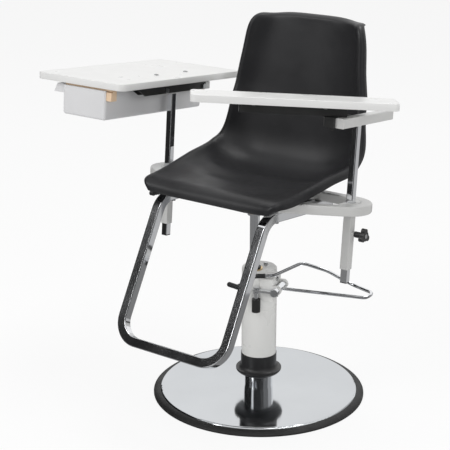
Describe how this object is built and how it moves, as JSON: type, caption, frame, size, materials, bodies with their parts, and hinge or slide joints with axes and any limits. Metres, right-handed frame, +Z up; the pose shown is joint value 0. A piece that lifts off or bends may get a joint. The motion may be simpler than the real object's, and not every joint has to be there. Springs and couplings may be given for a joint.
{
  "type": "phlebotomy chair",
  "caption": "Height-adjustable swivel chair for drawing blood, with a moulded seat, a footrest loop, a swinging arm board and a side table with a drawer, on a pedal-pumped column",
  "frame": {"origin": "on the floor, at the axis of the pump column and the round base", "axes": "+Z up, -Y the way the sitter faces, +X on the right of a person who looks at the sitter"},
  "size_m": [1.0129, 0.7222, 1.0429],
  "materials": {
    "shell_black": "moulded polypropylene, satin, lightly grained",
    "bright_frame": "polished chrome plate on steel tube",
    "bright_column": "polished chrome plate",
    "rubber_black": "moulded black rubber, matte",
    "cast_iron": "rough casting with a thin coat of black paint",
    "collar_black": "black satin paint",
    "pump_white": "off-white gloss enamel",
    "frame_grey": "light grey semi-gloss powder coat",
    "frame_black": "black semi-gloss paint",
    "laminate_white": "white laminate over board, satin",
    "drawer_grey": "moulded light grey plastic, satin",
    "runner_wood": "raw planed softwood",
    "zinc_steel": "zinc-plated steel",
    "bright_rod": "polished chrome plate on bent rod",
    "bronze": "plain bearing bronze",
    "plug_black": "black nylon, matte"
  },
  "bodies": {
    "base": {"base_rim": "rubber_black", "base_plate": "bright_column", "ballast_disc": "cast_iron", "base_bolts": "zinc_steel", "riser_tube": "bright_column", "column_collar": "collar_black", "pump_lower": "pump_white", "pump_head": "pump_white", "pump_cylinder": "zinc_steel", "ram_gland": "bronze", "ram_wiper": "rubber_black", "pump_bracket": "collar_black", "bracket_bolts": "zinc_steel", "plunger_barrel": "collar_black"},
    "ram": {"ram_rod": "bright_column", "thrust_washer": "bronze", "ram_bolt": "zinc_steel"},
    "seat_frame": {"swivel_hub": "frame_black", "carrier_plate": "frame_black", "carrier_bolts": "zinc_steel", "cross_rails": "frame_black", "footrest_frame": "bright_frame", "frame_plugs": "plug_black", "hoop_bolts": "zinc_steel", "right_hoop": "frame_grey", "left_hoop": "frame_grey", "right_sleeve": "frame_grey", "left_sleeve": "frame_grey", "seat_shell": "shell_black", "shell_screws": "zinc_steel"},
    "right_clamp": {"right_clamp_screw": "zinc_steel", "right_knob": "plug_black"},
    "left_clamp": {"left_clamp_screw": "zinc_steel", "left_knob": "plug_black"},
    "arm_post": {"right_post": "bright_frame", "right_post_plug": "plug_black", "arm_tube": "frame_grey", "arm_tube_caps": "plug_black", "pivot_block": "frame_black"},
    "arm": {"arm_rail": "frame_black", "rail_caps": "plug_black", "arm_board": "laminate_white", "board_screws": "zinc_steel", "pivot_bolt": "zinc_steel"},
    "table_post": {"left_post": "bright_frame", "left_post_plug": "plug_black", "table_tube": "frame_grey", "table_tube_caps": "plug_black", "table_bracket": "frame_black", "table_bolts": "zinc_steel", "table_top": "laminate_white", "table_screws": "zinc_steel", "drawer_runners": "runner_wood", "runner_screws": "zinc_steel"},
    "drawer": {"drawer_bin": "drawer_grey"},
    "pedal": {"pedal_loop": "bright_rod", "pedal_shaft": "zinc_steel", "pump_rocker": "zinc_steel"},
    "plunger": {"plunger": "bright_column"},
    "release": {"release_lever": "collar_black"}
  },
  "joints": [
    {"name": "seat_lift", "type": "slide", "parent": "base", "child": "ram", "axis": [0, 0, 1], "range_m": [0, 0.15]},
    {"name": "seat_swivel", "type": "hinge", "parent": "ram", "child": "seat_frame", "pos_m": [0, -0.024, 0.56], "axis": [0, 0, 1], "continuous": true},
    {"name": "arm_height", "type": "slide", "parent": "seat_frame", "child": "arm_post", "axis": [0, 0.0872, 0.9962], "range_m": [-0.03, 0.11]},
    {"name": "arm_swing", "type": "hinge", "parent": "arm_post", "child": "arm", "pos_m": [0.27, -0.0737, 0.85415], "axis": [0, 0.0872, 0.9962], "range_deg": [-38, 70]},
    {"name": "table_height", "type": "slide", "parent": "seat_frame", "child": "table_post", "axis": [0, 0.0872, 0.9962], "range_m": [-0.03, 0.11]},
    {"name": "drawer_slide", "type": "slide", "parent": "table_post", "child": "drawer", "axis": [-1, 0, 0], "range_m": [0, 0.1]},
    {"name": "arm_clamp_turn", "type": "hinge", "parent": "seat_frame", "child": "right_clamp", "pos_m": [0.33, -0.0299, 0.54014], "axis": [1, 0, 0], "continuous": true},
    {"name": "table_clamp_turn", "type": "hinge", "parent": "seat_frame", "child": "left_clamp", "pos_m": [-0.33, -0.0299, 0.54014], "axis": [-1, 0, 0], "continuous": true},
    {"name": "pedal_press", "type": "hinge", "parent": "base", "child": "pedal", "pos_m": [0.06357, 0.01775, 0.326], "axis": [-0.2689, 0.9632, 0], "range_deg": [0, 12], "stiffness_Nm_per_rad": 20, "springref_deg": -5.73},
    {"name": "plunger_lift", "type": "slide", "parent": "base", "child": "plunger", "axis": [0, 0, 1], "range_m": [-0.001, 0.0125]},
    {"name": "release_turn", "type": "hinge", "parent": "base", "child": "release", "pos_m": [-0.00731, -0.05955, 0.341], "axis": [-0.1219, -0.9925, 0], "range_deg": [-20, 20], "stiffness_Nm_per_rad": 0.4}
  ],
  "couplings": [
    {"joint": "plunger_lift", "follows": "pedal_press", "m_per_rad": 0.0543}
  ]
}
